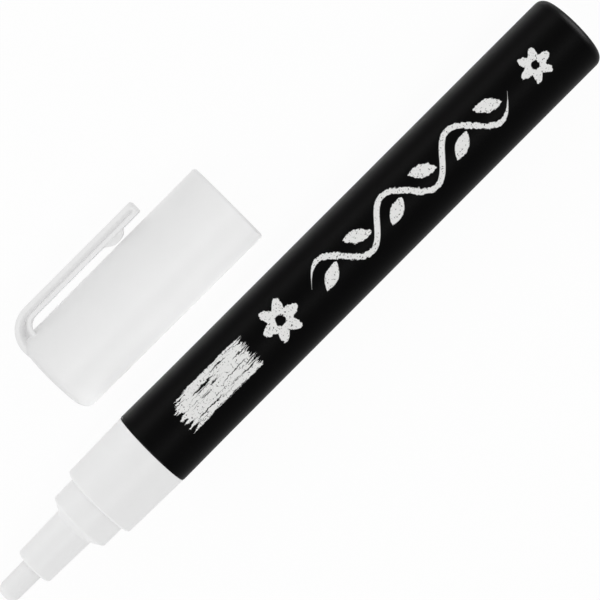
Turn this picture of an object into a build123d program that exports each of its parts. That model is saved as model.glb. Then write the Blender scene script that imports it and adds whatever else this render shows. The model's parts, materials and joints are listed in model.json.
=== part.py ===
from build123d import *
import math
import os

# A liquid chalk marker that lies on a table, with its cap taken off and laid beside it.
# Lengths are in millimetres and angles in degrees.
# The marker is drawn about the X axis with its nib towards -X, and X = 0 is the barrel's front lip.
# The cap is drawn about its own X axis, from its closed end at X = 0 to its mouth, with its clip at +Y.
# It is then laid at +Y, rolled about its axis by cap_roll so that the clip points a little upwards.
# Last, everything moves to the table: Z = 0 is the table, under the middle of the whole outline.

# Barrel
barrel_diameter = 15.0
barrel_length = 102.65
barrel_wall = 1.0
tail_wall = 1.8
tail_rounding = 1.7
tail_inner_rounding = 1.2
lip_height = 0.15
lip_flare = 12.0
lip_rounding = 0.35

# Front section, outside
collar_length = 12.96
collar_setback = 0.05
collar_draft = 0.275
collar_rounding = 0.5
step_length = 4.715
step_inset = 1.3
step_draft = 0.05
shoulder_length = 1.15
shoulder_rounding = 0.5
tube_length = 10.025
tube_wall = 0.77
tube_draft = 0.275
tube_rounding = 0.55
tube_root_rounding = 0.6
step_root_rounding = 0.2

# Front section, inside
front_wall = 1.2
web_thickness = 2.0
web_inset = 1.0
step_wall = 1.2
spigot_length = 9.0
spigot_wall = 1.47
spigot_clearance = 0.03

# Nib and the felt round it
nib_diameter = 4.2
nib_length = 30.1
nib_reach = 7.15
nib_taper = 0.075
nib_rounding = 1.75
nib_tail_chamfer = 0.3
nib_clearance = 0.08
nib_travel = 2.5
absorber_thickness = 0.65
absorber_clearance = 0.05

# Valve
cup_depth = 2.0
cup_wall = 0.7
cup_floor = 1.05
cup_seat_gap = 0.05
travel_margin = 0.4
seal_thickness = 1.5
seat_depth = 0.5
seat_gap = 0.05
valve_clearance = 0.05
valve_wall = 1.0
flange_thickness = 1.2
flange_clearance = 0.3
cage_length = 5.0
cage_floor = 1.2
window_width = 2.6
window_margin = 0.5
window_count = 3
head_gap = 0.45
head_length = 1.2
seat_overlap = 0.9
flow_gap = 0.8
guide_diameter = 2.0
guide_clearance = 0.08
guide_setback = 0.4

# Valve spring
wire_diameter = 0.5
spring_turns = 6
spring_inset = 0.3
spring_end_gap = 0.03

# Mixing ball
ball_diameter = 6.0
ball_clearance = 0.1

# Cap
cap_length = 42.8
cap_wall = 0.65
cap_draft = 0.15
cap_end_wall = 1.6
cap_end_rounding = 2.0
cap_mouth_land = 0.05
cap_fit_clearance = 0.05
cap_ledge = 0.175
cap_gap = 4.9
cap_setback = 3.25
cap_roll = 3.0

# Inner cap
liner_clearance = 0.05
liner_floor = 1.0
liner_floor_rounding = 1.0
liner_rim_gap = 1.5

# Clip
clip_width = 7.8
clip_thickness = 2.37
clip_standoff = 1.47
clip_reach = 30.93
clip_bend_radius = 5.5
clip_end_rounding = 0.35
clip_corner_radius = 1.2
clip_root_thickness = 3.2
clip_root_depth = 4.0
clip_root_proud = 0.15
slot_radius = 2.1
hinge_inset = 1.1
hinge_gap = 0.1
bump_position = 24.4
bump_length = 4.74
bump_near_ramp = 1.15
bump_far_ramp = 0.85
bump_shoulder_drop = 0.18
bump_gap = 0.34
bump_side_inset = 1.4
clip_rim = 0.75
clip_flange = 0.58
channel_depth = 0.6
channel_end = 1.1

# Radii from the barrel inwards
barrel_radius = barrel_diameter / 2
lip_radius = barrel_radius + lip_height
bore_radius = barrel_radius - barrel_wall
spigot_radius = bore_radius - spigot_clearance
valve_chamber_radius = spigot_radius - spigot_wall
valve_radius = valve_chamber_radius - valve_clearance
valve_bore_radius = valve_radius - valve_wall
head_radius = valve_bore_radius - head_gap
seal_hole_radius = head_radius - seat_overlap
stem_radius = seal_hole_radius - flow_gap
guide_radius = guide_diameter / 2
wire_radius = wire_diameter / 2
coil_radius = head_radius - spring_inset - wire_radius

# Radii of the front section from the lip down to its middle step
collar_rear_radius = lip_radius - collar_setback
collar_front_radius = collar_rear_radius - collar_draft
step_rear_radius = collar_front_radius - step_inset
step_front_radius = step_rear_radius - step_draft
cup_chamber_radius = step_front_radius - step_wall

# Radii from the nib outwards
nib_radius = nib_diameter / 2
nib_hole_radius = nib_radius + nib_clearance
absorber_radius = nib_hole_radius + absorber_thickness
absorber_chamber_radius = absorber_radius + absorber_clearance
tube_front_radius = absorber_chamber_radius + tube_wall
tube_rear_radius = tube_front_radius + tube_draft
cup_radius = nib_hole_radius + cup_wall

# Places along the marker, from the lip towards the nib
collar_front = -collar_length
step_front = collar_front - step_length
tube_rear = step_front - shoulder_length
tube_front = tube_rear - tube_length
nib_tip = tube_front - nib_reach
nib_tail = nib_tip + nib_length
web_rear = step_front + web_inset
web_front = web_rear - web_thickness

# Places along the valve, from the nib's tail backwards
cup_bottom = nib_tail + cup_seat_gap
cup_rear = cup_bottom + cup_floor
seal_front = cup_rear + nib_travel + travel_margin
seal_rear = seal_front + seal_thickness
flange_front = spigot_length
flange_rear = flange_front + flange_thickness
cage_rear = flange_rear + cage_length
cage_floor_front = cage_rear - cage_floor
cone_start = seal_rear - seat_depth - flow_gap + seat_gap * math.sqrt(2)
cone_end = cone_start + head_radius - stem_radius
head_rear = cone_end + head_length
guide_end = cage_rear - guide_setback
tail_floor = barrel_length - tail_wall

# Cap radii, and places along the cap from its closed end
socket_mouth_radius = collar_rear_radius + cap_fit_clearance
socket_inner_radius = collar_front_radius + cap_fit_clearance
cap_mouth_radius = socket_mouth_radius + cap_wall
cap_end_radius = cap_mouth_radius - cap_draft
cap_mouth_rounding = cap_wall - cap_mouth_land
liner_seat_radius = socket_inner_radius - cap_ledge
liner_radius = liner_seat_radius - liner_clearance
liner_bore_radius = step_rear_radius + liner_clearance
socket_floor = cap_length - collar_length
liner_rim = socket_floor - liner_rim_gap

# Clip, in the plane through the cap's axis
clip_inner = cap_end_radius + clip_standoff
clip_outer = clip_inner + clip_thickness
bend_x = clip_bend_radius - clip_root_proud
bend_y = clip_outer - clip_bend_radius
slot_x = clip_root_thickness + slot_radius
slot_y = clip_inner - slot_radius
hinge_x = slot_x + hinge_inset
hinge_y = (clip_inner + clip_outer) / 2
knuckle_radius = clip_thickness / 2
bump_start = bump_position - bump_length / 2
bump_finish = bump_position + bump_length / 2
crest_start = bump_start + bump_near_ramp
crest_finish = bump_finish - bump_far_ramp
cap_radius_at_bump = cap_end_radius + cap_draft * bump_finish / cap_length
bump_tip = cap_radius_at_bump + bump_gap

# Where the marker and the cap lie
cap_offset = barrel_radius + cap_gap + cap_mouth_radius
middle_x = (nib_tip + barrel_length) / 2
clip_tilt = math.radians(cap_roll)
clip_side = clip_outer * math.cos(clip_tilt) + clip_width / 2 * math.sin(clip_tilt)
middle_y = (cap_offset + clip_side - lip_radius) / 2
marker_place = Pos(-middle_x, -middle_y, lip_radius)
cap_place = Pos(-cap_setback - middle_x, cap_offset - middle_y, cap_mouth_radius) * Rot(cap_roll, 0, 0)


def turned(*corners):
    """Solid turned about the X axis from corners of (x, radius, rounding)."""
    outline = make_face(Polyline(*[(x, radius) for x, radius, _ in corners], close=True))
    for x, radius, rounding in corners:
        if rounding:
            corner = outline.vertices().sort_by_distance((x, radius))[0]
            outline = fillet(corner, rounding)
    return revolve(outline, Axis.X)


def rod(radius, start, end):
    """Plain round bar about the X axis."""
    return turned((start, 0, 0), (start, radius, 0), (end, radius, 0), (end, 0, 0))


def barrel():
    """Black tube, closed at the tail, which flares a little to its open front."""
    return turned(
        (0, bore_radius, 0),
        (0, lip_radius, lip_rounding),
        (lip_flare, barrel_radius, 0),
        (barrel_length, barrel_radius, tail_rounding),
        (barrel_length, 0, 0),
        (tail_floor, 0, 0),
        (tail_floor, bore_radius, tail_inner_rounding),
    )


def front_section():
    """White stepped moulding that holds the nib and plugs into the barrel."""
    outside = turned(
        (tube_front, 0, 0),
        (tube_front, tube_front_radius, tube_rounding),
        (tube_rear, tube_rear_radius, tube_root_rounding),
        (step_front, step_front_radius, shoulder_rounding),
        (collar_front, step_rear_radius, step_root_rounding),
        (collar_front, collar_front_radius, collar_rounding),
        (0, collar_rear_radius, 0),
        (0, spigot_radius, 0),
        (spigot_length, spigot_radius, 0),
        (spigot_length, 0, 0),
    )
    absorber_chamber = rod(absorber_chamber_radius, tube_front + front_wall, web_front)
    cup_chamber = rod(cup_chamber_radius, web_rear, seal_front)
    valve_chamber = rod(valve_chamber_radius, seal_front, spigot_length)
    nib_hole = rod(nib_hole_radius, tube_front, web_rear)
    return outside - [absorber_chamber, cup_chamber, valve_chamber, nib_hole]


def nib():
    """Bullet nib of pressed fibre."""
    return turned(
        (nib_tip, 0, 0),
        (nib_tip, nib_radius - nib_taper, nib_rounding),
        (tube_front, nib_radius, 0),
        (nib_tail - nib_tail_chamfer, nib_radius, 0),
        (nib_tail, nib_radius - nib_tail_chamfer, 0),
        (nib_tail, 0, 0),
    )


def nib_absorber():
    """Felt tube round the nib, inside the nib tube."""
    start = tube_front + front_wall
    return rod(absorber_radius, start, web_front) - rod(nib_hole_radius, start, web_front)


def valve_plunger():
    """Cup for the nib's tail, stem, sealing cone, head and guide tail, in one moulding."""
    return turned(
        (cup_bottom, 0, 0),
        (cup_bottom, nib_hole_radius, 0),
        (cup_bottom - cup_depth, nib_hole_radius, 0),
        (cup_bottom - cup_depth, cup_radius, 0),
        (cup_rear, cup_radius, 0),
        (cup_rear, stem_radius, 0),
        (cone_start, stem_radius, 0),
        (cone_end, head_radius, 0),
        (head_rear, head_radius, 0),
        (head_rear, guide_radius, 0),
        (guide_end, guide_radius, 0),
        (guide_end, 0, 0),
    )


def valve_seal():
    """Soft ring whose rear edge is coned to take the plunger."""
    return turned(
        (seal_front, seal_hole_radius, 0),
        (seal_front, valve_radius, 0),
        (seal_rear, valve_radius, 0),
        (seal_rear, seal_hole_radius + seat_depth, 0),
        (seal_rear - seat_depth, seal_hole_radius, 0),
    )


def valve_body():
    """Tube that clamps the seal, flanged at the spigot's end, with a windowed cage behind the flange."""
    flange_radius = bore_radius - flange_clearance
    hole_radius = guide_radius + guide_clearance
    body = turned(
        (seal_rear, valve_bore_radius, 0),
        (seal_rear, valve_radius, 0),
        (flange_front, valve_radius, 0),
        (flange_front, flange_radius, 0),
        (flange_rear, flange_radius, 0),
        (flange_rear, valve_radius, 0),
        (cage_rear, valve_radius, 0),
        (cage_rear, hole_radius, 0),
        (cage_floor_front, hole_radius, 0),
        (cage_floor_front, valve_bore_radius, 0),
    )
    window_length = cage_floor_front - flange_rear - 2 * window_margin
    window_place = Pos((flange_rear + cage_floor_front) / 2, valve_radius, 0)
    window = window_place * Box(window_length, 2 * (valve_radius - coil_radius), window_width)
    for index in range(window_count):
        body -= Rot(index * 360 / window_count, 0, 0) * window
    return body


def helix_state(start, pitch, turn):
    """Point and direction of the spring's centre line after a number of turns."""
    angle = 2 * math.pi * turn
    point = Vector(start + pitch * turn, coil_radius * math.cos(angle), coil_radius * math.sin(angle))
    rise = pitch / (2 * math.pi)
    heading = Vector(rise, -coil_radius * math.sin(angle), coil_radius * math.cos(angle))
    return point, heading.normalized()


def biarc(start, end):
    """Two arcs that join a pair of (point, direction) states with one common tangent."""
    first, out = start
    last, back = end
    chord = last - first
    bend = 2 * (1 - out.dot(back))
    along = chord.dot(out + back)
    reach = (math.sqrt(along**2 + bend * chord.dot(chord)) - along) / bend
    joint = (first + last) * 0.5 + (out - back) * (0.5 * reach)
    heading = (last - back * reach) - (first + out * reach)
    return [TangentArc(first, joint, tangent=out), TangentArc(joint, last, tangent=heading)]


def valve_spring():
    """Coil spring between the plunger's head and the cage floor, one unbroken round wire."""
    start = head_rear + spring_end_gap + wire_radius
    end = cage_floor_front - spring_end_gap - wire_radius
    pitch = (end - start) / spring_turns
    quarters = [helix_state(start, pitch, quarter / 4) for quarter in range(4 * spring_turns + 1)]
    arcs = [arc for pair in zip(quarters, quarters[1:]) for arc in biarc(*pair)]
    path = Wire(arcs)
    point, heading = quarters[0]
    coil = sweep(Plane(origin=point, z_dir=heading) * Circle(wire_radius), path=path)
    steps_a_turn = 48
    places = [step / steps_a_turn for step in range(steps_a_turn * spring_turns + 1)]
    line = [helix_state(start, pitch, turn)[0] for turn in places]
    apart = steps_a_turn // 2
    gaps = [(b - a).length for index, a in enumerate(line) for b in line[index + apart:]]
    print(f"valve spring: least gap to itself {min(gaps) - wire_diameter:.2f} mm")
    print(f"valve spring: volume {coil.volume:.3f}, wire {math.pi * wire_radius**2 * path.length:.3f} mm3")
    return coil


def mixing_ball():
    """Steel ball that lies on the barrel's inner wall, halfway down the ink space."""
    ball_radius = ball_diameter / 2
    drop = bore_radius - ball_radius - ball_clearance
    return Pos((cage_rear + tail_floor) / 2, 0, -drop) * Sphere(ball_radius)


def clip_channel():
    """Grooves along both sides of the clip, between its outer rim and its inner flange, down to its root."""
    rim_line = clip_outer - clip_rim
    flange_line = clip_inner + clip_flange
    rim_x = clip_rim - clip_root_proud
    flange_x = clip_root_thickness - clip_flange
    end = clip_reach - channel_end
    outline = make_face(
        Wire([
            Line((end, rim_line), (bend_x, rim_line)),
            CenterArc((bend_x, bend_y), clip_bend_radius - clip_rim, 90, 90),
            Line((rim_x, bend_y), (rim_x, clip_root_depth)),
            Line((rim_x, clip_root_depth), (flange_x, clip_root_depth)),
            Line((flange_x, clip_root_depth), (flange_x, slot_y)),
            CenterArc((slot_x, slot_y), slot_radius + clip_flange, 180, -90),
            Line((slot_x, flange_line), (end, flange_line)),
            Line((end, flange_line), (end, rim_line)),
        ])
    )
    groove = extrude(outline, channel_depth)
    level = clip_width / 2 - channel_depth
    return [Pos(0, 0, level) * groove, Pos(0, 0, -level - channel_depth) * groove]


def cap_shell():
    """White cap: tapered shell, closed end, socket for the collar, and the clip's root round its bend."""
    shell = turned(
        (0, 0, 0),
        (0, cap_end_radius, cap_end_rounding),
        (cap_length, cap_mouth_radius, cap_mouth_rounding),
        (cap_length, 0, 0),
    )
    root_outline = make_face(
        Wire([
            Line((0, clip_root_depth), (-clip_root_proud, bend_y)),
            CenterArc((bend_x, bend_y), clip_bend_radius, 180, -90),
            Line((bend_x, clip_outer), (hinge_x, clip_outer)),
            Line((hinge_x, clip_outer), (hinge_x, clip_inner)),
            Line((hinge_x, clip_inner), (slot_x, clip_inner)),
            CenterArc((slot_x, slot_y), slot_radius, 90, 90),
            Line((clip_root_thickness, slot_y), (clip_root_thickness, clip_root_depth)),
            Line((clip_root_thickness, clip_root_depth), (0, clip_root_depth)),
        ])
    )
    root = extrude(root_outline, clip_width / 2, both=True)
    socket = Pos(hinge_x, hinge_y, 0) * Cylinder(knuckle_radius + hinge_gap, 2 * clip_width)
    root = root - socket - clip_channel()
    hollow = turned(
        (cap_end_wall, 0, 0),
        (cap_end_wall, liner_seat_radius, 0),
        (socket_floor, liner_seat_radius, 0),
        (socket_floor, socket_inner_radius, 0),
        (cap_length, socket_mouth_radius, 0),
        (cap_length, 0, 0),
    )
    return shell + root - hollow


def clip_arm():
    """Springing arm of the clip, from its hinge line to its free end, with the gripping bump under it."""
    arm_outline = Pos((hinge_x + clip_reach) / 2, hinge_y) * Rectangle(clip_reach - hinge_x, clip_thickness)
    free_corners = arm_outline.vertices().group_by(Axis.X)[-1]
    arm_outline = fillet(free_corners, clip_end_rounding)
    arm_outline += Pos(hinge_x, hinge_y) * Circle(knuckle_radius)
    arm = extrude(arm_outline, clip_width / 2, both=True)
    plan_outline = Pos(clip_reach / 2, 0) * Rectangle(clip_reach, clip_width)
    plan_outline = fillet(plan_outline.vertices().group_by(Axis.X)[-1], clip_corner_radius)
    arm &= Rot(90, 0, 0) * extrude(plan_outline, 2 * clip_outer, both=True)
    shoulder = bump_tip + bump_shoulder_drop
    bump_outline = make_face(
        Wire([
            Line((bump_start, hinge_y), (bump_start, clip_inner)),
            Line((bump_start, clip_inner), (crest_start, shoulder)),
            ThreePointArc(
                (crest_start, shoulder),
                ((crest_start + crest_finish) / 2, bump_tip),
                (crest_finish, shoulder),
            ),
            Line((crest_finish, shoulder), (bump_finish, clip_inner)),
            Line((bump_finish, clip_inner), (bump_finish, hinge_y)),
            Line((bump_finish, hinge_y), (bump_start, hinge_y)),
        ])
    )
    bump = extrude(bump_outline, clip_width / 2 - bump_side_inset, both=True)
    return arm + bump - clip_channel()


def inner_cap():
    """Liner cup that sits on the cap's end wall and seals on the section's middle step."""
    return turned(
        (cap_end_wall, 0, 0),
        (cap_end_wall, liner_radius, 0),
        (liner_rim, liner_radius, 0),
        (liner_rim, liner_bore_radius, 0),
        (cap_end_wall + liner_floor, liner_bore_radius, liner_floor_rounding),
        (cap_end_wall + liner_floor, 0, 0),
    )


marker_pieces = [
    barrel,
    front_section,
    nib,
    nib_absorber,
    valve_plunger,
    valve_seal,
    valve_body,
    valve_spring,
    mixing_ball,
]
cap_pieces = [cap_shell, clip_arm, inner_cap]

os.makedirs("parts", exist_ok=True)
for pieces, place in ((marker_pieces, marker_place), (cap_pieces, cap_place)):
    for piece in pieces:
        export_step(place * piece(), f"parts/{piece.__name__}.step")
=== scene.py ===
"""Dresses a liquid chalk marker that lies on a table with its cap taken off and laid beside it.

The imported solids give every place. The pieces that show are made again here as fine meshes with
their soft edges, and every piece, the hidden ones too, gets a finish made of shader nodes. Sizes
are in millimetres, but for the lamps, whose distances and sizes are in metres.
"""

import json
import logging
import math
from dataclasses import dataclass
from enum import Enum
from typing import Any, Mapping, Sequence

import bmesh
import bpy
from mathutils import Matrix, Vector, noise


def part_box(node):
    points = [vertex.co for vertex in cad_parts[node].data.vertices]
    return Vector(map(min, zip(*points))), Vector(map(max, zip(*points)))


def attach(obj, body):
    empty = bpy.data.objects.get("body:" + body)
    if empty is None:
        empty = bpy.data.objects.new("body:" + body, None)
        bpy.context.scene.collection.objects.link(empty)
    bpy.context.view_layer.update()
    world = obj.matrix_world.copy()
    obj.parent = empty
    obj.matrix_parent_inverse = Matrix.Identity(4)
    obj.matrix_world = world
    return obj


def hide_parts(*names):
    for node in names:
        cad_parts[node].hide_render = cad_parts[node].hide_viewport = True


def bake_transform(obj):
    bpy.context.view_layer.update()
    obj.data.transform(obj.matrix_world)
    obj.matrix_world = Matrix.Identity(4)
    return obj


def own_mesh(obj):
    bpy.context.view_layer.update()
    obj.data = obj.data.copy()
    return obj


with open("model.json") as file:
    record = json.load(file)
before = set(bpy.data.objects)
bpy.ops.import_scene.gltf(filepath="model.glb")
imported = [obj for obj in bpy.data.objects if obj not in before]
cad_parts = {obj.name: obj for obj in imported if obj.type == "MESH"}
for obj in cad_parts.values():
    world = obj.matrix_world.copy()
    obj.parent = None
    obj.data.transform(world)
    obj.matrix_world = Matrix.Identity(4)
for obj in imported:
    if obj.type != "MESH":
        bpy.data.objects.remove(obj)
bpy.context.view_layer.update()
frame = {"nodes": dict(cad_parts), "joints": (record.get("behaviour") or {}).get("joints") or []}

LOG = logging.getLogger("chalk_marker")

MM = 0.001
TURNED_SIDES = 192
ARC_STEP = math.radians(7.5)
FEWEST_ARC_STEPS = 2
SHARP_EDGE = math.radians(38)
NORMAL_WEIGHT = 90
CLOUD_LAYERS = 3.0
WHITE = (1.0, 1.0, 1.0, 1.0)
# Watts that a square metre of lamp takes for a radiance of 1
LAMP_WATTS = 4.0
Colour = tuple[float, float, float]


class Body(Enum):
    """Bodies of the frame that a piece rides on."""

    MARKER = "marker"
    NIB = "nib"
    CAP = "cap"
    CLIP = "clip"


class Slot(Enum):
    """Material slots of the record."""

    BARREL = "barrel_black"
    SECTION = "section_white"
    CAP = "cap_white"
    LINER = "liner_white"
    NIB = "nib_fibre"
    FELT = "absorber_felt"
    SPRING = "spring_steel"


# Shader nodes


class Value:
    """An output socket of a graph, whose arithmetic adds Math nodes."""

    def __init__(self, graph: "Graph", socket: bpy.types.NodeSocket) -> None:
        """Wraps one output socket."""
        self.graph = graph
        self.socket = socket

    def __add__(self, other: "Value | float") -> "Value":
        """Sum of two values."""
        return self.graph.math("ADD", self, other)

    def __sub__(self, other: "Value | float") -> "Value":
        """Difference of two values."""
        return self.graph.math("SUBTRACT", self, other)

    def __rsub__(self, other: float) -> "Value":
        """A number less this value."""
        return self.graph.math("SUBTRACT", other, self)

    def __mul__(self, other: "Value | float") -> "Value":
        """Product of two values."""
        return self.graph.math("MULTIPLY", self, other)

    def __truediv__(self, other: "Value | float") -> "Value":
        """Quotient of two values."""
        return self.graph.math("DIVIDE", self, other)

    def __mod__(self, other: float) -> "Value":
        """What is left over after whole steps of a number."""
        return self.graph.math("FLOORED_MODULO", self, other)

    def __abs__(self) -> "Value":
        """Size without the sign."""
        return self.graph.math("ABSOLUTE", self)

    def __and__(self, other: "Value") -> "Value":
        """The part that two masks share."""
        return self.graph.math("MINIMUM", self, other)

    def __or__(self, other: "Value") -> "Value":
        """All that either of two masks covers."""
        return self.graph.math("MAXIMUM", self, other)

    __radd__ = __add__
    __rmul__ = __mul__

    def swing(self) -> "Value":
        """Noise from 0 to 1 as a swing about 0."""
        return self - 0.5

    def rise(self, low: "Value | float", high: "Value | float") -> "Value":
        """Smooth step from 0 at the low value to 1 at the high one.

        Args:
            low: value at and below which the step is 0.
            high: value at and above which the step is 1.

        Returns:
            The step, from 0 to 1.
        """
        settings = {"interpolation_type": "SMOOTHSTEP"}
        sockets = {"Value": self, "From Min": low, "From Max": high}
        return self.graph.value("ShaderNodeMapRange", settings, sockets)


class Graph:
    """The node tree of a material or of the room's light."""

    def __init__(self, owner: bpy.types.Material | bpy.types.World) -> None:
        """Empties a tree.

        Args:
            owner: what the tree belongs to.
        """
        owner.use_nodes = True
        self.owner = owner
        self.tree = owner.node_tree
        self.tree.nodes.clear()

    def node(
        self,
        kind: str,
        settings: Mapping[str, Any] | None = None,
        sockets: Mapping[str | int, Any] | None = None,
    ) -> bpy.types.Node:
        """Adds one node.

        Args:
            kind: the node's type.
            settings: its properties, which are set first.
            sockets: a value or a link for each of its inputs, by name or by number.

        Returns:
            The new node.
        """
        node = self.tree.nodes.new(kind)
        for name, setting in (settings or {}).items():
            setattr(node, name, setting)
        enabled = [socket for socket in node.inputs if socket.enabled]
        for name, given in (sockets or {}).items():
            named = (socket for socket in enabled if socket.name == name)
            socket = enabled[name] if isinstance(name, int) else next(named)
            if isinstance(given, Value):
                self.tree.links.new(given.socket, socket)
            else:
                socket.default_value = given
        return node

    def value(
        self,
        kind: str,
        settings: Mapping[str, Any] | None = None,
        sockets: Mapping[str | int, Any] | None = None,
        output: str | None = None,
    ) -> Value:
        """Adds one node and wraps one of its outputs.

        Args:
            kind: the node's type.
            settings: its properties.
            sockets: a value or a link for each of its inputs.
            output: the output's name, or None for the first that is in use.

        Returns:
            The wrapped output.
        """
        node = self.node(kind, settings, sockets)
        found = next(s for s in node.outputs if s.enabled and output in (None, s.name))
        return Value(self, found)

    def math(self, operation: str, *values: Value | float) -> Value:
        """Adds a Math node over values and numbers."""
        return self.value("ShaderNodeMath", {"operation": operation}, dict(enumerate(values)))

    def blend(self, factor: Value, first: Colour | Value, second: Colour | Value) -> Value:
        """Mixes two colours.

        Args:
            factor: 0 for the first colour, 1 for the second.
            first: a colour, or a value that holds one.
            second: the same.

        Returns:
            The mixed colour.
        """
        colours = [c if isinstance(c, Value) else (*c, 1.0) for c in (first, second)]
        sockets = {"Factor": factor, "A": colours[0], "B": colours[1]}
        return self.value("ShaderNodeMix", {"data_type": "RGBA"}, sockets)

    def place(self) -> Value:
        """Place on the piece, in metres in the frame's own axes."""
        return self.value("ShaderNodeTexCoord", output="Object")

    def stretched(self, scale: Sequence[float]) -> Value:
        """Place on the piece, with each axis multiplied by a number."""
        sockets = {0: self.place(), 1: tuple(scale)}
        return self.value("ShaderNodeVectorMath", {"operation": "MULTIPLY"}, sockets)

    def noise(self, grain: float, detail: float = 2.0, place: Value | None = None) -> Value:
        """Soft noise from 0 to 1.

        Args:
            grain: size of its blobs, in millimetres.
            detail: how many finer layers it has.
            place: where it is read, or None for the place on the piece.

        Returns:
            The noise.
        """
        sockets = {"Vector": place or self.place(), "Scale": 1 / (grain * MM), "Detail": detail}
        return self.value("ShaderNodeTexNoise", None, sockets)

    def bump(self, height: Value, depth: float) -> Value:
        """Surface normal over a height from 0 to 1.

        Args:
            height: the height.
            depth: how deep a height of 1 is, in millimetres.

        Returns:
            The normal.
        """
        return self.value("ShaderNodeBump", None, {"Distance": depth * MM, "Height": height})

    def principled(self, sockets: Mapping[str, Any]) -> bpy.types.Material:
        """Ends the tree in a Principled shader.

        Args:
            sockets: a value or a link for each of the shader's inputs.

        Returns:
            The finished material.
        """
        return self.surface(self.value("ShaderNodeBsdfPrincipled", None, sockets))

    def surface(self, shader: Value) -> bpy.types.Material:
        """Feeds a shader to the material's surface, and returns the material."""
        self.node("ShaderNodeOutputMaterial", None, {"Surface": shader})
        return self.owner


# Finishes


@dataclass(frozen=True)
class MouldedPlastic:
    """Smooth moulded plastic with faint flow clouding and a fine satin grain."""

    name: str
    tone: Colour
    clouding: float = 0.02
    roughness: float = 0.38
    cloud_size: float = 5.0
    cloud_roughness: float = 0.06
    grain_size: float = 0.3
    grain_roughness: float = 0.04
    grain_depth: float = 0.0015

    def material(self) -> bpy.types.Material:
        """Makes the finish.

        Returns:
            The material.
        """
        graph = Graph(bpy.data.materials.new(self.name))
        clouds = graph.noise(self.cloud_size, CLOUD_LAYERS)
        grain = graph.noise(self.grain_size)
        uneven = self.cloud_roughness * clouds.swing() + self.grain_roughness * grain.swing()
        dull = tuple(part * (1 - 2 * self.clouding) for part in self.tone)
        return graph.principled({
            "Base Color": graph.blend(clouds, dull, self.tone),
            "Roughness": self.roughness + uneven,
            "Normal": graph.bump(grain, self.grain_depth),
        })


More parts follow.
